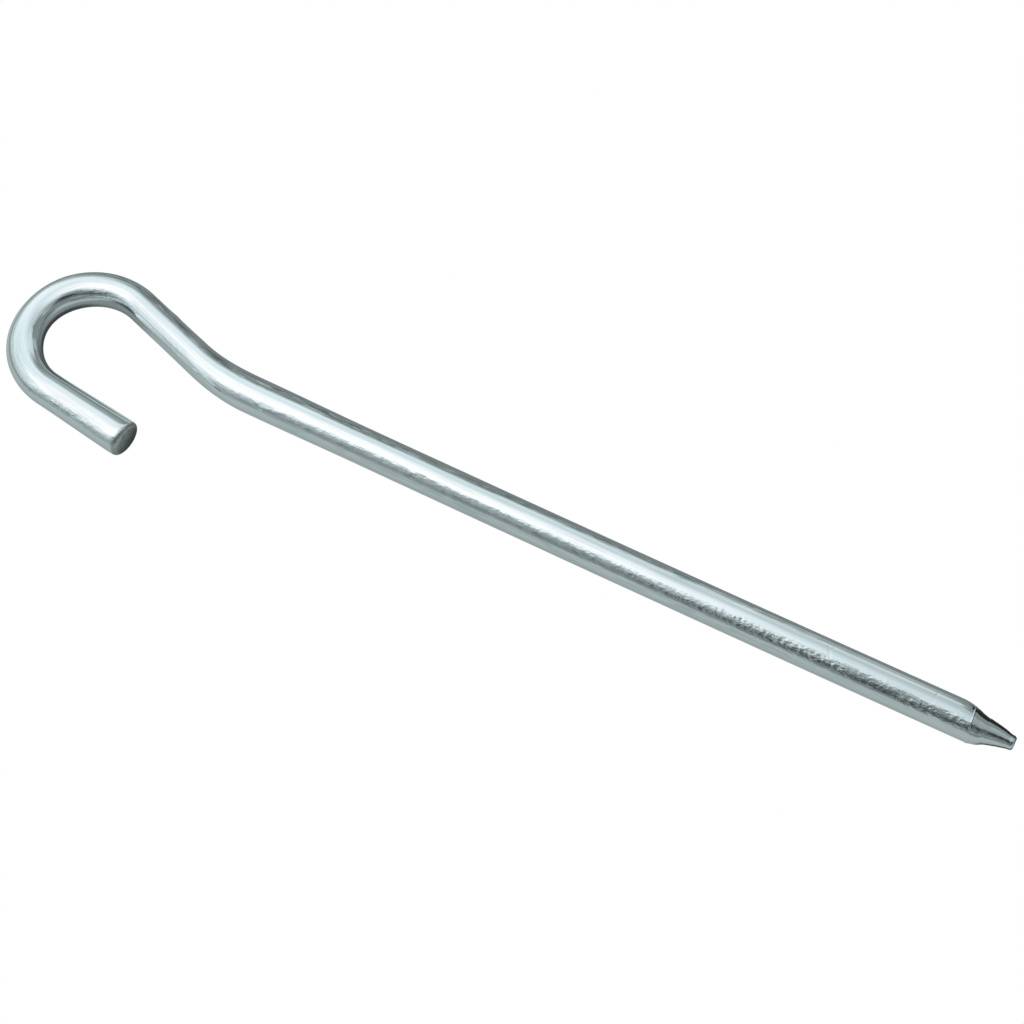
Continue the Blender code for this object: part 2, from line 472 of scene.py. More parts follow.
def grain_relief(distance, theta):
    """Orange-peel along the front, with draw lines and slow waves all round."""
    peel = COARSE_PEEL_SHARE * np.abs(wire_noise(distance, theta, COARSE_PEEL))
    peel += FINE_PEEL_SHARE * wire_noise(distance, theta, FINE_PEEL)
    peel_size = LEAST_PEEL + PEEL_HEIGHT * peel_strength(distance, theta, PEEL_SIDES)
    lines = wire_noise(distance, theta, DRAW_LINES)
    lines += RUB_LINE_SHARE * scuffed(distance, theta) * wire_noise(distance, theta, RUB_LINES)
    waves = wire_noise(distance, theta, SLOW_WAVES)
    turned = smooth_step(RING_PLACE + LINES_RING_GAP, RING_PLACE - LINES_RING_GAP, distance)
    return peel_size * peel + (LINE_HEIGHT * lines + WAVE_HEIGHT * waves) * (1 - turned)


# Larger dents: distance from the point, angle round the wire, size and depth.
LARGE_DENTS = (
    (0.1066, math.radians(50), 0.00030, 0.000050),
    (0.1220, math.radians(5), 0.00022, 0.000040),
    (0.1806, math.radians(54), 0.00036, 0.000030),
)
# The chain of dents where the shank was gripped: its count and ends, the angle in degrees at its
# far end, how fast that falls in degrees per metre, its scatter, and ranges of size and depth.
CHAIN_DENTS = 26
CHAIN_START = 0.036
CHAIN_END = 0.049
CHAIN_SIDE = 67
CHAIN_SLANT = 900
CHAIN_SCATTER = 2.5
CHAIN_SIZES = (0.00014, 0.00026)
CHAIN_DEPTHS = (0.000016, 0.000034)
# Bands of specks, at the kink and in the shank's core: count, ranges of angle in degrees, distance
# and size, and depth.
SPECK_BANDS = (
    (18, (98, 122), (0.112, 0.160), (0.00018, 0.00026), 0.000022),
    (14, (46, 56), (0.054, 0.112), (0.00020, 0.00028), 0.000036),
)
# The specks all over the wire.
SPECKS = 46
SPECKS_START = 0.011
SPECKS_END_GAP = 0.002
SPECK_SIZES = (0.00012, 0.00026)
SPECK_DEPTHS = (0.000003, 0.000010)


def dents():
    """Distance, angle, size and depth of every dent: the larger ones, the chain and the specks."""
    found = list(LARGE_DENTS)
    for _ in range(CHAIN_DENTS):
        distance = rng.uniform(CHAIN_START, CHAIN_END)
        side = CHAIN_SIDE - CHAIN_SLANT * (CHAIN_END - distance) + rng.normal(0, CHAIN_SCATTER)
        size = rng.uniform(*CHAIN_SIZES)
        found.append((distance, math.radians(side), size, rng.uniform(*CHAIN_DEPTHS)))
    for count, sides, places, sizes, depth in SPECK_BANDS:
        for _ in range(count):
            side = math.radians(rng.uniform(*sides))
            found.append((rng.uniform(*places), side, rng.uniform(*sizes), depth))
    for _ in range(SPECKS):
        found.append((
            rng.uniform(SPECKS_START, WIRE_LENGTH - SPECKS_END_GAP),
            rng.uniform(0, 2 * math.pi),
            rng.uniform(*SPECK_SIZES),
            rng.uniform(*SPECK_DEPTHS),
        ))
    return found


# Cross scratches: distance from the point, angles where each starts and ends, and slant in metres.
SCRATCHES = (
    (0.0134, math.radians(112), math.radians(80), 0.0004),
    (0.0306, math.radians(104), math.radians(68), -0.0011),
    (0.0301, math.radians(108), math.radians(98), 0.0006),
    (0.0585, math.radians(250), math.radians(205), 0.0008),
    (0.0970, math.radians(170), math.radians(138), -0.0007),
)
SCRATCH_DEPTH = 0.000022
SCRATCH_WIDTH = 0.00016
SCRATCH_FADE = (-0.1, 0.15, 0.85, 1.1)
SCRATCH_REACH = (-0.2, 1.2)
# A dent's rim stands up by this share of its depth, and is this many times as wide.
DENT_RIM = 0.25
DENT_RIM_WIDTH = 2
# A mark is worked out this many times its size away from it.
MARK_REACH = 3


def mark_relief(distance, theta):
    """Dents and cross scratches, as depth below the surface."""
    depth = np.zeros(distance.shape)
    for place, side, size, deep in dents():
        rows = np.abs(distance[:, 0] - place) < MARK_REACH * size
        across = angle_from(theta[rows], side) * WIRE_RADIUS
        away = (distance[rows] - place) ** 2 + across ** 2
        hollow = (1 + DENT_RIM) * np.exp(-away / size ** 2)
        depth[rows] += deep * (hollow - DENT_RIM * np.exp(-away / (DENT_RIM_WIDTH * size) ** 2))
    for place, start, end, slant in SCRATCHES:
        rows = np.abs(distance[:, 0] - place) < abs(slant) + MARK_REACH * SCRATCH_WIDTH
        share = np.clip(angle_from(theta[rows], start) / (end - start), *SCRATCH_REACH)
        line = place + slant * (share - 0.5)
        scratch = zone(SCRATCH_FADE, share) * bump_at(distance[rows], line, SCRATCH_WIDTH)
        depth[rows] += SCRATCH_DEPTH * scratch
    return depth


# Grooves along the wire: where each starts and ends, its angle round the wire at both, width and
# depth. A negative depth is a raised line, and one that runs towards the point fades that way.
GROOVES = (
    (0.1570, 0.1365, math.radians(26), math.radians(30), 0.00026, -0.000085),
    (0.1345, 0.1415, math.radians(25), math.radians(39), 0.00022, -0.000052),
    (0.1355, 0.1420, math.radians(18), math.radians(28), 0.00020, 0.000020),
    (0.1286, 0.1306, math.radians(38), math.radians(62), 0.00026, -0.000050),
    (0.1272, 0.1294, math.radians(46), math.radians(38), 0.00024, -0.000050),
    (0.1244, 0.1270, math.radians(58), math.radians(44), 0.00024, -0.000046),
    (0.1290, 0.1440, math.radians(112), math.radians(119), 0.00026, 0.000024),
    (0.1500, 0.1640, math.radians(121), math.radians(110), 0.00030, 0.000018),
    (0.0880, 0.1020, math.radians(108), math.radians(112), 0.00026, 0.000014),
)
# Every groove fades over these shares of its length.
GROOVE_FADE = (0.0, 0.08, 0.6, 1.0)


def groove_relief(distance, theta):
    """Grooves, as depth below the surface."""
    depth = np.zeros(distance.shape)
    for start, end, side, end_side, width, deep in GROOVES:
        share = (distance - start) / (end - start)
        across = angle_from(theta, side + (end_side - side) * share) * WIRE_RADIUS
        depth += deep * zone(GROOVE_FADE, share) * bump_at(across, 0.0, width)
    return depth


# Marks of the bending dies: distance from the point, angle round the wire, length, width and
# height. A negative height is a dent.
DIE_MARKS = (
    (0.1512, math.radians(165), 0.0009, 0.0022, 0.000075),
    (0.1395, math.radians(345), 0.0016, 0.0026, 0.000022),
    (0.1380, math.radians(28), 0.0016, 0.0007, -0.000006),
    (0.1510, math.radians(25), 0.0012, 0.0008, -0.000014),
    (0.1676, math.radians(50), 0.0014, 0.0009, -0.000012),
    (0.1802, math.radians(54), 0.0012, 0.0010, -0.000016),
    (0.1850, math.radians(190), 0.0016, 0.0016, 0.000014),
)


def die_relief(distance, theta):
    """Marks of the dies, as height above the surface."""
    relief = np.zeros(distance.shape)
    for place, side, length, width, height in DIE_MARKS:
        across = angle_from(theta, side) * WIRE_RADIUS
        relief += height * bump_at(distance, place, length) * bump_at(across, 0.0, width)
    return relief


# The sheared face: its noise, the depth and lean of its dish, and the shares of its radius between
# which the unevenness starts.
FACE_SEED = 7.3
FACE_GRAIN = 2.2
TEAR_STRETCH = np.array((0.9, 4.0, 1.0))
TEAR_SHIFT = 4.0
DISH_DEPTH = 0.00006
DISH_LEAN = 0.00005
FACE_UNEVENNESS = 0.000030
TEAR_HEIGHT = 0.000010
FACE_EDGE = 1.05
FACE_INSIDE = 0.75


def face_relief(share, theta):
    """Height of the sheared face at a share of its radius: a shallow dish with soft tearing."""
    x, y = share * np.cos(theta), share * np.sin(theta)
    seeds = np.full(x.size, FACE_SEED)
    points = np.column_stack((x.ravel() * FACE_GRAIN + FACE_SEED, y.ravel() * FACE_GRAIN, seeds))
    coarse = noise_on(points).reshape(x.shape)
    tear = noise_on(points * TEAR_STRETCH + TEAR_SHIFT).reshape(x.shape)
    inside = smooth_step(FACE_EDGE, FACE_INSIDE, share)
    dish = (DISH_LEAN * y - DISH_DEPTH) * (1 - share ** 2)
    return dish + inside * (FACE_UNEVENNESS * coarse + TEAR_HEIGHT * tear)


# The shear rolled the edge over on one side, and left the face torn on the other, where the face's
# near-black colour is partly the torn metal's dullness and partly painted shade.
ROLLED_SIDE = math.radians(125)
ROLLED_SPREAD = math.radians(70)
ROLLED_LENGTH = 0.0015
ROLLED_DEPTH = 0.00034
TORN_AND_SHADED_SIDE = math.radians(-55)


def rolled(distance, theta):
    """How far the edge of the sheared end is rolled over, from 0 to 1."""
    share = np.clip((distance - WIRE_LENGTH + ROLLED_LENGTH) / ROLLED_LENGTH, 0.0, 1.0)
    return share ** 2 * on_side(theta, ROLLED_SIDE, ROLLED_SPREAD)


# ---- Building the wire --------------------------------------------------------------------------

# The sheared face's relief reaches this share of the rim's radius back from the face, and ends this
# share of it inside the wire's surface.
FACE_REACH = 0.6
FACE_INSET = 0.3


def wire_grid():
    """Points of the wire's surface, one row for each ring, with their distances and angles."""
    profile = rings()
    count = len(profile)
    theta = np.broadcast_to(2 * math.pi * np.arange(SIDES) / SIDES, (count, SIDES))
    distance = np.broadcast_to(profile[:, :1], (count, SIDES)).copy()
    radius = profile[:, 1:]
    full = np.clip(radius / WIRE_RADIUS, 0.0, 1.0)

    shaped, turned = point_shape(distance, theta, radius)
    shaped = shaped - ROLLED_DEPTH * rolled(distance, theta) * full
    relief = grain_relief(distance, theta) * full - mark_relief(distance, theta) * full
    relief += die_relief(distance, theta) - groove_relief(distance, theta)
    lean = through_keys(LEAN_KEYS, distance) * turned

    on_face = profile[:, 0] >= WIRE_LENGTH - RIM_RADIUS * FACE_REACH
    share = np.broadcast_to(radius / (WIRE_RADIUS - RIM_RADIUS * FACE_INSET), (count, SIDES))
    distance[on_face] += face_relief(share[on_face], theta[on_face])

    on_axis = np.clip(distance, 0.0, WIRE_LENGTH)
    points, headings = axis_at(on_axis.ravel())
    beyond = distance - on_axis
    points = points.reshape(count, SIDES, 2)
    headings = headings.reshape(count, SIDES)
    ahead = np.stack((np.cos(headings), np.sin(headings)), axis=2)
    left = np.stack((-np.sin(headings), np.cos(headings)), axis=2)
    width = through_keys(WIDTH_KEYS, distance)
    height = 1 - HEIGHT_RESPONSE * np.abs(width - 1)
    reach = shaped + relief
    sideways = reach * width * np.cos(theta) + lean * math.cos(LOW_SIDE)
    level = points + left * sideways[..., None] + ahead * beyond[..., None]
    upright = DRIVEN_POINT["pos_m"][2] + reach * height * np.sin(theta) + lean * math.sin(LOW_SIDE)
    grid = np.concatenate((level, upright[..., None]), axis=2)
    return grid, distance, theta, np.broadcast_to(radius, (count, SIDES))


def grid_faces(count):
    """Quads between each two rings, and a fan at each end to a point of its own."""
    rows = np.arange(count - 1)[:, None] * SIDES
    here = np.arange(SIDES)[None, :]
    beside = (here + 1) % SIDES
    ahead = rows + SIDES
    quads = np.stack((rows + here, rows + beside, ahead + beside, ahead + here), axis=2)
    last = (count - 1) * SIDES
    first_centre, last_centre = count * SIDES, count * SIDES + 1
    ring = range(SIDES)
    first = [(first_centre, (i + 1) % SIDES, i) for i in ring]
    final = [(last_centre, last + i, last + (i + 1) % SIDES) for i in ring]
    return [tuple(face) for face in quads.reshape(-1, 4).tolist()] + first + final


def store(mesh, name, kind, values):
    attribute = mesh.attributes.new(name, kind, "POINT")
    field = "vector" if kind == "FLOAT_VECTOR" else "value"
    attribute.data.foreach_set(field, np.asarray(values, np.float32).ravel())


def with_ends(values):
    """One row a point, with each end ring's mean added for the point in the middle of its face."""
    flat = values.reshape(values.shape[0] * SIDES, -1)
    return np.vstack((flat, flat[:SIDES].mean(0), flat[-SIDES:].mean(0)))


# Away from the torn part the rim has this share of the face's look; on the torn part the rim is
# dulled fully, which paints shade over its highlight.
RIM_DULLNESS = 0.62
# The face's look starts and is full this far from the end, and at these shares of the rim inwards.
FACE_LOOK_START = 0.0003
FACE_LOOK_FULL = 0.0002
RIM_LOOK_START = 0.1
RIM_LOOK_FULL = 1.1
# The torn part, whose dark colour is partly painted shade, starts and is full at these shares of
# the radius towards the torn side.
TORN_AND_SHADE_START = -0.9
TORN_AND_SHADE_FULL = 0.7
# The rolled edge is dull from this much rolling on.
ROLL_LOOK_START = 0.10
ROLL_LOOK_FULL = 0.32


def sheared_look(distance, theta, radius):
    """How much of the sheared face's look applies, and how much of that is torn, with its dark
    colour partly painted shade.
    """
    inwards = (WIRE_RADIUS - radius) / RIM_RADIUS
    to_end = WIRE_LENGTH - distance
    sheared = smooth_step(RIM_LOOK_START, RIM_LOOK_FULL, inwards)
    sheared = sheared * smooth_step(FACE_LOOK_START, FACE_LOOK_FULL, to_end)
    # Painted shade: the torn share darkens the face and the rim towards one side.
    torn_and_shade = smooth_step(TORN_AND_SHADE_START, TORN_AND_SHADE_FULL, radius / WIRE_RADIUS * np.cos(theta - TORN_AND_SHADED_SIDE))
    on_rim = smooth_step(RIM_RADIUS, RIM_RADIUS * FACE_REACH, to_end)
    on_roll = smooth_step(ROLL_LOOK_START, ROLL_LOOK_FULL, rolled(distance, theta))
    dull = (RIM_DULLNESS + (1 - RIM_DULLNESS) * torn_and_shade) * np.maximum(on_rim, on_roll)
    return np.maximum(sheared, dull), torn_and_shade


def build_wire():
    """The whole stake as one piece, which stands for the CAD rod."""
    grid, distance, theta, radius = wire_grid()
    vertices = with_ends(grid)
    mesh = bpy.data.meshes.new("hook_stake_wire")
    mesh.from_pydata(vertices.tolist(), [], grid_faces(len(grid)))
    straight = np.stack((distance, radius * np.cos(theta), radius * np.sin(theta)), axis=2)
    store(mesh, "along_wire", "FLOAT_VECTOR", with_ends(straight))
    sheared, torn_and_shade = sheared_look(distance, theta, radius)
    looks = {
        "sheared": sheared,
        "torn_and_shade": torn_and_shade,
        "turned": ahead_of_ring(distance, theta),
        "scuffed": scuffed(distance, theta),
        "peel": peel_strength(distance, theta, PEEL_SIDES),
        # The mottle is partly a stain and partly painted dark reflection, on the band facing the
        # front.
        "mottle_and_dark_reflection": peel_strength(distance, theta, MOTTLE_AND_DARK_REFLECTION_SIDES),
    }
    for name, values in looks.items():
        store(mesh, name, "FLOAT", with_ends(values))
    mesh.shade_smooth()
    mesh.update()
    wire = bpy.data.objects.new("hook_stake_wire", mesh)
    bpy.context.scene.collection.objects.link(wire)
    return wire


# ---- Metal --------------------------------------------------------------------------------------

# Colours of the bright metal and its shade, of the metal where it is rubbed, and of the sheared
# face's burnished and torn parts with the shade of each; the torn part's near-black is partly
# painted shade.
METAL = (0.775, 0.855, 0.865, 1.0)
METAL_SHADE = (0.66, 0.745, 0.75, 1.0)
# The rubbed colour also darkens the mottle, where that is painted dark reflection.
SCUFF = (0.33, 0.39, 0.39, 1.0)
BURNISHED = (0.36, 0.40, 0.395, 1.0)
BURNISHED_SHADE = (0.21, 0.245, 0.24, 1.0)
# The torn colours are near-black: partly torn metal, partly painted shade.
TORN_AND_SHADE = (0.030, 0.040, 0.037, 1.0)
TORN_SHADE = (0.060, 0.075, 0.070, 1.0)

# Noises in the metal: scale along the wire and both ways across it, per metre, and detail.
LINES = ((60, 9000, 9000), 3.0)
STAINS = ((120, 420, 420), 4.0)
GRAIN = ((9000, 9000, 9000), 2.0)
RUBS = ((240, 2300, 2300), 3.0)
MOTTLE = ((900, 1900, 1900), 3.0)
CHAFING = ((420, 2600, 2600), 4.0)
FINE_BUMPS = ((1600, 3000, 3000), 2.0)
FACE_GRAINS = ((900, 900, 900), 3.0)

# What shows of each noise: its low and high end, and what they turn into where that isn't 0 and 1.
LINES_TONE = (0.40, 0.62)
STAINS_TONE = (0.35, 0.65, 0.35, 1.0)
RUBS_TONE = (0.47, 0.56)
MOTTLE_TONE = (0.44, 0.56, 0.0, 0.50)
FACE_TONE = (0.38, 0.66)
STAINS_ROUGHNESS = (0.3, 0.7, 0.05, 0.10)
LINES_ROUGHNESS = (0.35, 0.65, 0.0, 0.03)
CHAFING_ROUGHNESS = (0.52, 0.59, 0.0, 0.42)

# Roughness added on the sheared face and the turned point.
SHEARED_ROUGHNESS = 0.32
TURNED_ROUGHNESS = 0.03
# The most that rubs, and the mottle with its painted dark reflection, cover of the bright metal.
RUBS_COVER = 0.9
MOTTLE_AND_DARK_REFLECTION_COVER = 0.72
# Heights of the bumps in the shading, and how much stronger the grain is on the sheared face.
LINES_BUMP = 0.0000012
PEEL_BUMP = 0.000070
GRAIN_BUMP = 0.0000009
SHEARED_GRAIN = 5.0


class Nodes:
    """Short calls for building one tree's nodes."""

    def __init__(self, tree):
        self.tree = tree

    def add(self, kind, **settings):
        node = self.tree.nodes.new(kind)
        for name, value in settings.items():
            setattr(node, name, value)
        return node

    def link(self, source, target):
        if isinstance(source, (int, float, tuple)):
            target.default_value = source
        else:
            self.tree.links.new(source, target)

    def attribute(self, name, output="Fac"):
        return self.add("ShaderNodeAttribute", attribute_name=name).outputs[output]

    def noise(self, place, scale, detail):
        """Noise drawn out by a scale for each direction."""
        stretched = self.add("ShaderNodeVectorMath", operation="MULTIPLY")
        self.link(place, stretched.inputs[0])
        self.link(scale, stretched.inputs[1])
        node = self.add("ShaderNodeTexNoise")
        self.link(stretched.outputs[0], node.inputs["Vector"])
        node.inputs["Scale"].default_value = 1.0
        node.inputs["Detail"].default_value = detail
        return node.outputs["Fac"]

    def remap(self, value, low, high, new_low=0.0, new_high=1.0):
        node = self.add("ShaderNodeMapRange", interpolation_type="SMOOTHSTEP")
        self.link(value, node.inputs["Value"])
        node.inputs["From Min"].default_value = low
        node.inputs["From Max"].default_value = high
        node.inputs["To Min"].default_value = new_low
        node.inputs["To Max"].default_value = new_high
        return node.outputs[0]

    def math(self, operation, first, second):
        node = self.add("ShaderNodeMath", operation=operation)
        self.link(first, node.inputs[0])
        self.link(second, node.inputs[1])
        return node.outputs[0]

    def times(self, first, second):
        return self.math("MULTIPLY", first, second)

    def plus(self, first, second):
        return self.math("ADD", first, second)

    def mix(self, share, first, second):
        node = self.add("ShaderNodeMix", data_type="RGBA")
        self.link(share, node.inputs[0])
        self.link(first, node.inputs[6])
        self.link(second, node.inputs[7])
        return node.outputs[2]

    def reach(self, place, centre, half_sizes, turn):
        """Distance from an ellipse's centre, as a share of the way to its edge."""
        node = self.add("ShaderNodeMapping", vector_type="TEXTURE")
        self.link(place, node.inputs["Vector"])
        node.inputs["Location"].default_value = (*centre, 0.0)
        node.inputs["Rotation"].default_value = (0.0, 0.0, turn)
        node.inputs["Scale"].default_value = (*half_sizes, 1.0)
        length = self.add("ShaderNodeVectorMath", operation="LENGTH")
        self.link(node.outputs[0], length.inputs[0])
        return length.outputs["Value"]

    def bump(self, height, distance, normal=None):
        node = self.add("ShaderNodeBump")
        node.inputs["Distance"].default_value = distance
        node.inputs["Strength"].default_value = 1.0
        self.link(height, node.inputs["Height"])
        if normal is not None:
            self.link(normal, node.inputs["Normal"])
        return node.outputs[0]


def metal_material():
    """Bright drawn wire with stains, rubs and a mottle that is partly painted dark reflection,
    a turned point, and a dull sheared face whose torn part is partly painted shade.
    """
    material = bpy.data.materials.new("bright_drawn_wire")
    material.use_nodes = True
    shader = material.node_tree.nodes["Principled BSDF"]
    nodes = Nodes(material.node_tree)
    place = nodes.attribute("along_wire", "Vector")
    sheared = nodes.attribute("sheared")
    scuffs = nodes.attribute("scuffed")
    lines = nodes.noise(place, *LINES)
    stains = nodes.noise(place, *STAINS)

    tone = nodes.times(nodes.remap(lines, *LINES_TONE), nodes.remap(stains, *STAINS_TONE))
    drawn = nodes.mix(tone, METAL, METAL_SHADE)
    rubs = nodes.times(nodes.remap(nodes.noise(place, *RUBS), *RUBS_TONE), scuffs)
    drawn = nodes.mix(nodes.times(rubs, RUBS_COVER), drawn, SCUFF)
    # Mottle: partly a stain, partly painted dark reflection on the band that faces the front.
    mottle_and_dark_reflection = nodes.remap(nodes.noise(place, *MOTTLE), *MOTTLE_TONE)
    mottle_and_dark_reflection = nodes.times(mottle_and_dark_reflection, nodes.attribute("mottle_and_dark_reflection"))
    drawn = nodes.mix(nodes.math("MINIMUM", mottle_and_dark_reflection, MOTTLE_AND_DARK_REFLECTION_COVER), drawn, SCUFF)
    grains = nodes.remap(nodes.noise(place, *FACE_GRAINS), *FACE_TONE)
    burnished = nodes.mix(grains, BURNISHED, BURNISHED_SHADE)
    # The torn part's near-black colour is partly painted shade.
    torn_and_shade = nodes.mix(grains, TORN_AND_SHADE, TORN_SHADE)
    face = nodes.mix(nodes.attribute("torn_and_shade"), burnished, torn_and_shade)
    nodes.link(nodes.mix(sheared, drawn, face), shader.inputs["Base Color"])

    rough = nodes.remap(stains, *STAINS_ROUGHNESS)
    rough = nodes.plus(rough, nodes.remap(lines, *LINES_ROUGHNESS))
    rough = nodes.plus(rough, nodes.times(sheared, SHEARED_ROUGHNESS))
    rough = nodes.plus(rough, nodes.times(nodes.attribute("turned"), TURNED_ROUGHNESS))
    chafing = nodes.remap(nodes.noise(place, *CHAFING), *CHAFING_ROUGHNESS)
    rough = nodes.plus(rough, nodes.times(chafing, scuffs))
    nodes.link(rough, shader.inputs["Roughness"])
    shader.inputs["Metallic"].default_value = 1.0

    peel = nodes.times(nodes.noise(place, *FINE_BUMPS), nodes.attribute("peel"))
    normal = nodes.bump(peel, PEEL_BUMP)
    normal = nodes.bump(lines, LINES_BUMP, normal)
    grain = nodes.plus(1.0, nodes.times(sheared, SHEARED_GRAIN))
    grain = nodes.times(nodes.noise(place, *GRAIN), grain)
    nodes.link(nodes.bump(grain, GRAIN_BUMP, normal), shader.inputs["Normal"])
    return material


# ---- Stage --------------------------------------------------------------------------------------

FLOOR_RADIUS = 3.0
FLOOR_DROP = 0.00005
PANEL_HEIGHT = 0.25
PANEL_HALF = 1.0
# Colours of the light and of the panel's bright and brightest parts. The metal is bluish, so the
# brightest parts are warm, for a white shine.
LIGHT_COLOUR = (0.92, 1.0, 1.0)
COOL_COLOUR = (0.932, 1.0, 1.036)
WHITE_COLOUR = (1.065, 1.0, 1.0)
# Brightness of the panel at which each of these starts and is full.
COOL_RANGE = (0.55, 0.85)
WHITE_RANGE = (0.96, 1.20)


def emission(name, colour, strength):
    material = bpy.data.materials.new(name)
    material.use_nodes = True
    tree = material.node_tree
    tree.nodes.clear()
    out = tree.nodes.new("ShaderNodeOutputMaterial")
    light = tree.nodes.new("ShaderNodeEmission")
    light.inputs["Color"].default_value = (*colour, 1.0)
    light.inputs["Strength"].default_value = strength
    tree.links.new(light.outputs[0], out.inputs["Surface"])
    return material, light


def stage_mesh(name, vertices, faces, material):
    mesh = bpy.data.meshes.new(name)
    mesh.from_pydata(vertices, [], faces)
    mesh.materials.append(material)
    piece = bpy.data.objects.new(name, mesh)
    bpy.context.scene.collection.objects.link(piece)
    return piece


def square(size, height):
    corners = ((-1, -1), (1, -1), (1, 1), (-1, 1))
    return [(x * size, y * size, height) for x, y in corners], [(0, 1, 2, 3)]


def seen_only(piece):
    """The camera sees the piece, and it neither lights nor mirrors in the metal."""
    piece.visible_diffuse = False
    piece.visible_glossy = False
    piece.visible_transmission = False
    piece.visible_shadow = False


def build_floor():
    """A white floor for the eye, and a grey one just under it for the metal to mirror, with the
    wire's shadows painted into its glow.
    """
    white, _ = emission("white_floor", (1.0, 1.0, 1.0), 1.0)
    corners, faces = square(FLOOR_RADIUS, -FLOOR_DROP)
    seen_only(stage_mesh("floor", corners, faces, white))
    wall_corners = [(x, y, z) for z in (-FLOOR_DROP, 2 * FLOOR_RADIUS) for x, y, _ in corners]
    walls = [(i, (i + 1) % 4, (i + 1) % 4 + 4, i + 4) for i in range(4)] + [(4, 5, 6, 7)]
    seen_only(stage_mesh("backdrop", wall_corners, walls, white))
    build_under_floor()


# The grey floor is a grid: fine out to NEAR_FLOOR, and coarse beyond.
NEAR_FLOOR = 0.13
NEAR_STEP = 0.0015
FAR_LINES = (0.16, 0.25, 0.5, 1.0, FLOOR_RADIUS)
# Its brightness, with the wire's shadows painted in: in front of the shank, against it there in a
# painted contact shadow, behind it in a painted shadow, behind the hook where that shadow is
# lighter, inside the hook in a painted shadow, in front of the hook, and round the point in a
# painted shadow.
FRONT_FLOOR = 0.52
FRONT_CONTACT_SHADOW = 0.42
SHADOWED_BACK_FLOOR = 0.26
LEFT_BACK_FLOOR = 0.38
SHADOWED_EYE_FLOOR = 0.30
LEFT_FRONT_FLOOR = 0.36
POINT_SHADOW = 0.03
# How much darker painted shade makes it against the inside of the hook, and at the sheared end.
EYE_SHADE = 0.35
END_SHADE = 0.80

# The wire's axis is sampled this often, and the shank has the first so many of the samples.
AXIS_SAMPLES = 420
SHANK_SAMPLES = 300
# Each pair says where a part of the floor starts and where it is full, and a zone says the same of
# both its ends. Measured in y from the shank's axis:
FRONT_EDGE = (0.0025, -0.0025)
POINT_SHADOW_FRONT = 0.001
# Measured in x:
LEFT_EDGE = (-0.075, -0.10)
PAST_RING_EDGE = (0.0800, 0.0822)
PAST_POINT_EDGE = (0.0865, 0.088)
NOSE_EDGE = (0.0815, 0.0835)
END_EDGE = (-0.0755, -0.0785)
# Measured along the wire:
EYE_ZONE = (0.152, 0.159, 0.185, 0.191)
LEG_EDGE = (0.187, 0.192)
# Measured from the wire's axis:
CONTACT_SHADOW_REACH = (0.0035, 0.008)
PAST_RING_REACH = (0.070, 0.045)
PAST_POINT_REACH = (0.012, 0.008)
NOSE_REACH = (0.0044, 0.0026)
EYE_SHADE_REACH = (0.0050, 0.0028)
END_SHADE_REACH = (0.0068, 0.0048)
# Measured on a slant towards the front left, from LEFT_FRONT_X on the x axis:
LEFT_FRONT_X = -0.07
LEFT_FRONT_SLANT = (-0.85, -0.5)
LEFT_FRONT_EDGE = (0.024, 0.038)


def floor_lines():
    near = np.arange(-NEAR_FLOOR, NEAR_FLOOR + NEAR_STEP / 2, NEAR_STEP)
    return np.concatenate((-np.array(FAR_LINES[::-1]), near, FAR_LINES))


def beside_wire(x, y, along, axis, headings):
    """Distance from the axis, the nearest place along it, and 1 on the left of it, else 0."""
    away = np.full(x.shape, np.inf)
    nearest = np.zeros(x.shape)
    left_side = np.zeros(x.shape)
    for place, (axis_x, axis_y), heading in zip(along, axis, headings):
        apart = np.hypot(x - axis_x, y - axis_y)
        closer = apart < away
        away[closer] = apart[closer]
        nearest[closer] = place
        to_left = (y - axis_y) * math.cos(heading) - (x - axis_x) * math.sin(heading)
        left_side[closer] = (to_left > 0)[closer]
    return away, nearest, left_side


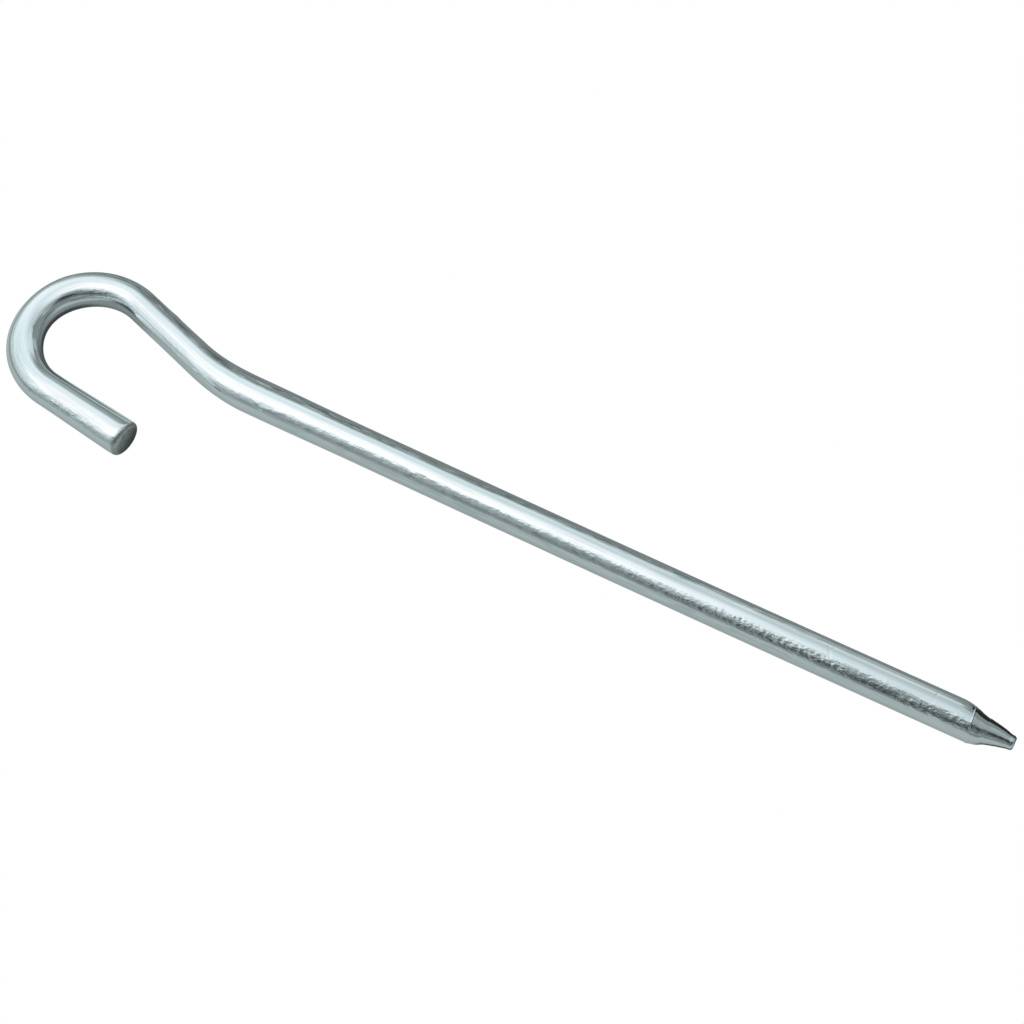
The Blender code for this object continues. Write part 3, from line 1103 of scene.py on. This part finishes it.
def floor_glow_with_painted_shadows(x, y):
    """Brightness of the floor, with the wire's shadows painted in: dimmer beside the wire, behind
    it, in the hook and by the point.
    """
    along = np.linspace(0.0, WIRE_LENGTH, AXIS_SAMPLES)
    axis, headings = axis_at(along)
    away, nearest, inside = beside_wire(x, y, along, axis, headings)
    shank = axis[:SHANK_SAMPLES][::-1]
    behind_shank = y - np.interp(x, shank[:, 0], shank[:, 1])

    front = smooth_step(*FRONT_EDGE, behind_shank)
    # Painted contact shadow against the front of the shank, and painted shadow behind it.
    ahead = FRONT_CONTACT_SHADOW + (FRONT_FLOOR - FRONT_CONTACT_SHADOW) * smooth_step(*CONTACT_SHADOW_REACH, away)
    behind = SHADOWED_BACK_FLOOR + (LEFT_BACK_FLOOR - SHADOWED_BACK_FLOOR) * smooth_step(*LEFT_EDGE, x)
    past_ring = smooth_step(*PAST_RING_EDGE, x) * smooth_step(*PAST_RING_REACH, away)
    behind += (POINT_SHADOW - behind) * past_ring
    glow = behind + (ahead - behind) * front
    past_point = smooth_step(*PAST_POINT_EDGE, x) * smooth_step(*PAST_POINT_REACH, away)
    glow += (POINT_SHADOW - glow) * past_point * (behind_shank > -POINT_SHADOW_FRONT)
    glow += (FRONT_FLOOR - glow) * inside * smooth_step(*LEG_EDGE, nearest)
    slant_x, slant_y = LEFT_FRONT_SLANT
    left_front = slant_x * (x - LEFT_FRONT_X) + slant_y * y
    glow += (LEFT_FRONT_FLOOR - glow) * smooth_step(*LEFT_FRONT_EDGE, left_front)
    by_nose = smooth_step(*NOSE_EDGE, x) * smooth_step(*NOSE_REACH, away)
    glow += (POINT_SHADOW - glow) * by_nose

    shade = EYE_SHADE * smooth_step(*EYE_SHADE_REACH, away)
    end_shade = END_SHADE * smooth_step(*END_SHADE_REACH, away)
    shade += (end_shade - shade) * smooth_step(*END_EDGE, x)
    in_eye = inside * zone(EYE_ZONE, nearest)
    return glow + (SHADOWED_EYE_FLOOR * (1 - shade) - glow) * in_eye


def build_under_floor():
    """The floor as the metal mirrors it: a glow with the wire's shadows painted in."""
    grey, light = emission("grey_floor", LIGHT_COLOUR, 1.0)
    lines = floor_lines()
    x, y = np.meshgrid(lines, lines, indexing="xy")
    count = len(lines)
    corner = (np.arange(count - 1)[:, None] * count + np.arange(count - 1)[None, :]).ravel()
    faces = np.stack((corner, corner + 1, corner + count + 1, corner + count), axis=1)
    vertices = np.stack((x, y, np.full(x.shape, -2 * FLOOR_DROP)), axis=2).reshape(-1, 3)
    piece = stage_mesh("under_floor", vertices.tolist(), faces.tolist(), grey)
    store(piece.data, "glow", "FLOAT", floor_glow_with_painted_shadows(x, y))
    nodes = Nodes(grey.node_tree)
    nodes.link(nodes.attribute("glow"), light.inputs["Strength"])
    piece.visible_camera = False


# Upright cards behind the wire: name, left and right ends, y, height and brightness.
BACK_CARDS = (
    ("grey_card", -0.01, 0.064, 0.30, 0.14, 0.50),
    ("dim_card", 0.064, 0.50, 0.30, 0.14, 0.30),
    ("black_card", 0.0850, 0.112, 0.055, 0.020, 0.02),
)


def build_back_cards():
    """Low upright cards behind the point's side of the wire."""
    for name, left, right, y, height, glow in BACK_CARDS:
        card, _ = emission(name, LIGHT_COLOUR, glow)
        corners = [(left, y, 0.0), (right, y, 0.0), (right, y, height), (left, y, height)]
        stage_mesh(name, corners, [(0, 1, 2, 3)], card).visible_camera = False


PANEL_BASE = 0.289
PANEL_LEAST = 0.04
# The cards add nothing inside this ellipse: centre x and y, half length and half width.
DIM_CORNER = (0.243, 0.365, 0.165, 0.190)
DIM_SOFTNESS = 0.16
# Soft cards on the panel: centre x and y, half length, half width and turn in degrees, softness of
# the edge as a share of the half size, and brightness added, which is negative for a dark card.
CARDS = (
    (-0.252, 0.137, 0.601, 0.100, -39.7, 0.96, 0.239),
    (-1.489, -0.260, 0.952, 1.370, -71.6, 0.27, 0.565),
    (-0.091, 0.365, 0.268, 0.189, 45.2, 0.36, 0.492),
    (-0.328, -0.300, 0.427, 0.080, 38.5, 0.23, 0.223),
    (-0.176, 0.384, 0.090, 0.180, -12.2, 0.61, -0.585),
    (-0.129, -0.058, 0.177, 0.111, 33.7, 0.98, 0.540),
    (0.204, 0.119, 0.150, 0.257, -78.1, 0.29, 0.287),
    (0.193, -0.507, 0.225, 0.686, 171.1, 0.08, -0.163),
    (0.044, -0.099, 0.027, 0.073, -1.0, 0.36, -0.274),
    (-0.428, 0.031, 0.458, 0.154, -239.7, 0.08, 0.132),
    (0.180, -0.170, 0.065, 0.110, 0.0, 0.50, -0.220),
    (0.430, -0.600, 0.150, 0.150, 0.0, 0.50, 0.200),
    (0.025, -0.640, 0.055, 0.200, 0.0, 0.50, -0.060),
)


def build_panel():
    """The soft overhead panel with its cards."""
    material, light = emission("soft_panel", LIGHT_COLOUR, 1.0)
    nodes = Nodes(material.node_tree)
    place = nodes.add("ShaderNodeTexCoord").outputs["Object"]
    added = 0.0
    for x, y, half_length, half_width, turn, soft, strength in CARDS:
        reach = nodes.reach(place, (x, y), (half_length, half_width), math.radians(turn))
        added = nodes.plus(added, nodes.remap(reach, 1 + soft, 1 - soft, 0.0, strength))
    x, y, half_length, half_width = DIM_CORNER
    reach = nodes.reach(place, (x, y), (half_length, half_width), 0.0)
    added = nodes.times(added, nodes.remap(reach, 1 - DIM_SOFTNESS, 1 + DIM_SOFTNESS))
    lit = nodes.math("MAXIMUM", nodes.plus(added, PANEL_BASE), PANEL_LEAST)
    nodes.link(lit, light.inputs["Strength"])
    light_colour, cool_colour = (*LIGHT_COLOUR, 1.0), (*COOL_COLOUR, 1.0)
    colour = nodes.mix(nodes.remap(lit, *COOL_RANGE), light_colour, cool_colour)
    colour = nodes.mix(nodes.remap(lit, *WHITE_RANGE), colour, (*WHITE_COLOUR, 1.0))
    nodes.link(colour, light.inputs["Color"])
    corners, faces = square(PANEL_HALF, 0.0)
    panel = stage_mesh("soft_panel", corners, [faces[0][::-1]], material)
    panel.location.z = PANEL_HEIGHT
    panel.visible_camera = False


# The surroundings below the panel: least brightness, what is added in the brightest direction, how
# far from it that fades out, and where it lies.
ROOM_LEAST = 0.27
ROOM_GAIN = 1.20
ROOM_SPREAD = math.radians(93.4)
ROOM_AZIMUTH = math.radians(-172.4)
ROOM_ELEVATION = math.radians(-47.0)


def build_world():
    """Dim surroundings below the panel, brighter on the left."""
    world = bpy.data.worlds.new("room")
    bpy.context.scene.world = world
    world.use_nodes = True
    nodes = Nodes(world.node_tree)
    background = world.node_tree.nodes["Background"]
    dot = nodes.add("ShaderNodeVectorMath", operation="DOT_PRODUCT")
    nodes.link(nodes.add("ShaderNodeTexCoord").outputs["Generated"], dot.inputs[0])
    dot.inputs[1].default_value = (
        math.cos(ROOM_ELEVATION) * math.cos(ROOM_AZIMUTH),
        math.cos(ROOM_ELEVATION) * math.sin(ROOM_AZIMUTH),
        math.sin(ROOM_ELEVATION),
    )
    away = nodes.math("ARCCOSINE", dot.outputs["Value"], 0.0)
    glow = nodes.remap(away, ROOM_SPREAD, 0.0, ROOM_LEAST, ROOM_LEAST + ROOM_GAIN)
    nodes.link(glow, background.inputs["Strength"])
    background.inputs["Color"].default_value = (*LIGHT_COLOUR, 1.0)


# ---- The scene ----------------------------------------------------------------------------------

make_camera()
build_world()
build_floor()
build_panel()
build_back_cards()
bpy.context.scene.view_settings.view_transform = "Standard"

stake = build_wire()
stake.data.materials.append(metal_material())
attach(stake, "root")
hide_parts("stake_rod")
